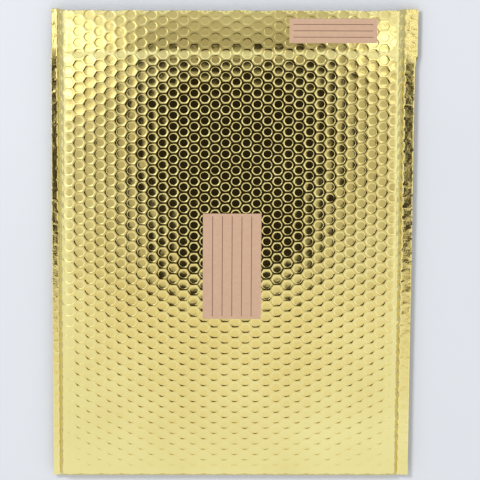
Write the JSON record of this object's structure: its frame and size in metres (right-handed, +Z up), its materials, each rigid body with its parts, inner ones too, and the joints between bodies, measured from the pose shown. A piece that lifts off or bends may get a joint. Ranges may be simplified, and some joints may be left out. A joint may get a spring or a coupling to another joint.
{
  "type": "padded envelope",
  "caption": "Large padded envelope of gold metallised film over bubble lining, welded at the sides, folded at the foot, with a self-seal flap standing open.",
  "frame": {"origin": "centre of the envelope's outline, on the surface it lies on", "axes": "+Z up out of the address face, +Y from the foot fold towards the open flap, +X across the envelope towards the sender label"},
  "size_m": [0.37, 0.53, 0.0143],
  "materials": {
    "gold_film": "gold metallised film, mirror-like, dimpled by the bubbles under it",
    "clear_bubble": "clear polyethylene bubble film",
    "hot_melt": "tacky clear-yellow hot-melt adhesive",
    "silicone_paper": "smooth white silicone-coated paper",
    "label_paper": "matt peach-tan label paper with ruled brown lines"
  },
  "bodies": {
    "root": {"outer_film": "gold_film", "bubble_lining": "clear_bubble", "adhesive_strip": "hot_melt", "release_liner": "silicone_paper", "address_label": "label_paper", "sender_label": "label_paper"}
  },
  "joints": []
}
